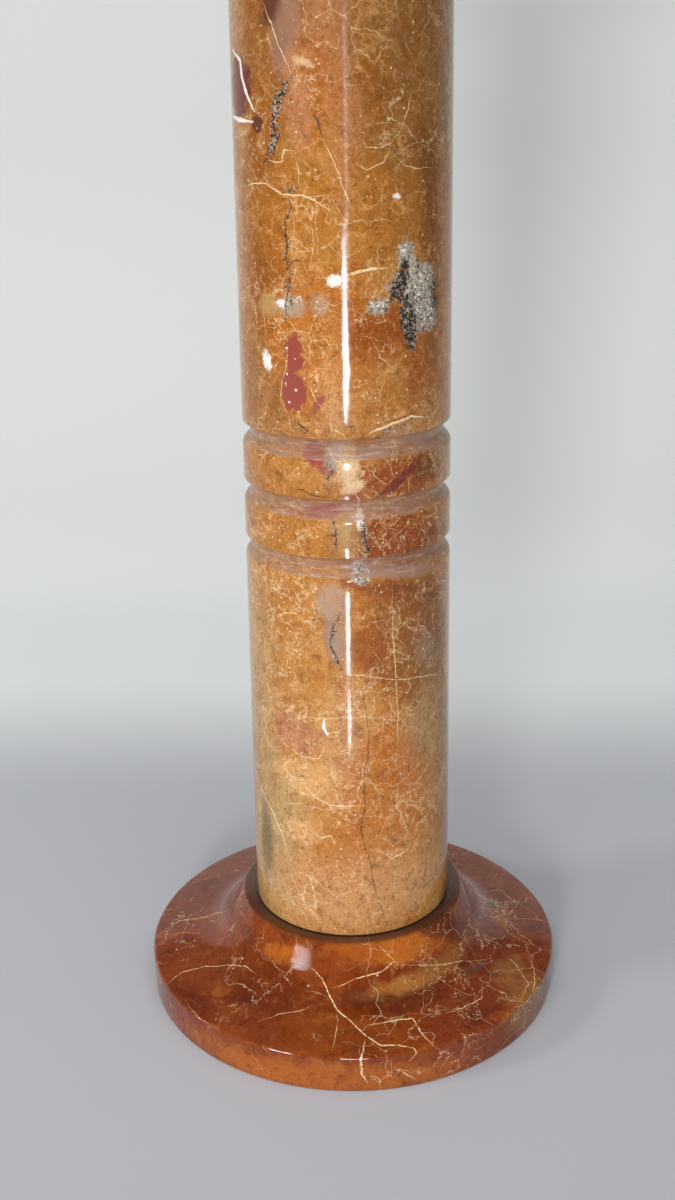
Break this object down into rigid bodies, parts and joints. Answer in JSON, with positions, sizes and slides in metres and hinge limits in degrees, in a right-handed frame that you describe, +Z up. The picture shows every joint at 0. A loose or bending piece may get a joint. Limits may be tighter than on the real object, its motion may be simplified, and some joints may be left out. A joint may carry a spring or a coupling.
{
  "type": "marble pedestal column",
  "caption": "Turned marble pedestal column: a tapering round shaft with three turned grooves on a round moulded base, under a round top slab.",
  "frame": {"origin": "middle of the underside of the round base, which stands on the floor", "axes": "+Z up along the column's axis of turning"},
  "size_m": [0.304, 0.304, 0.7404],
  "materials": {
    "honey_marble": "polished honey-brown veined marble",
    "russet_marble": "polished red-brown veined marble"
  },
  "bodies": {
    "root": {"base": "russet_marble", "shaft": "honey_marble", "top_slab": "russet_marble"}
  },
  "joints": []
}
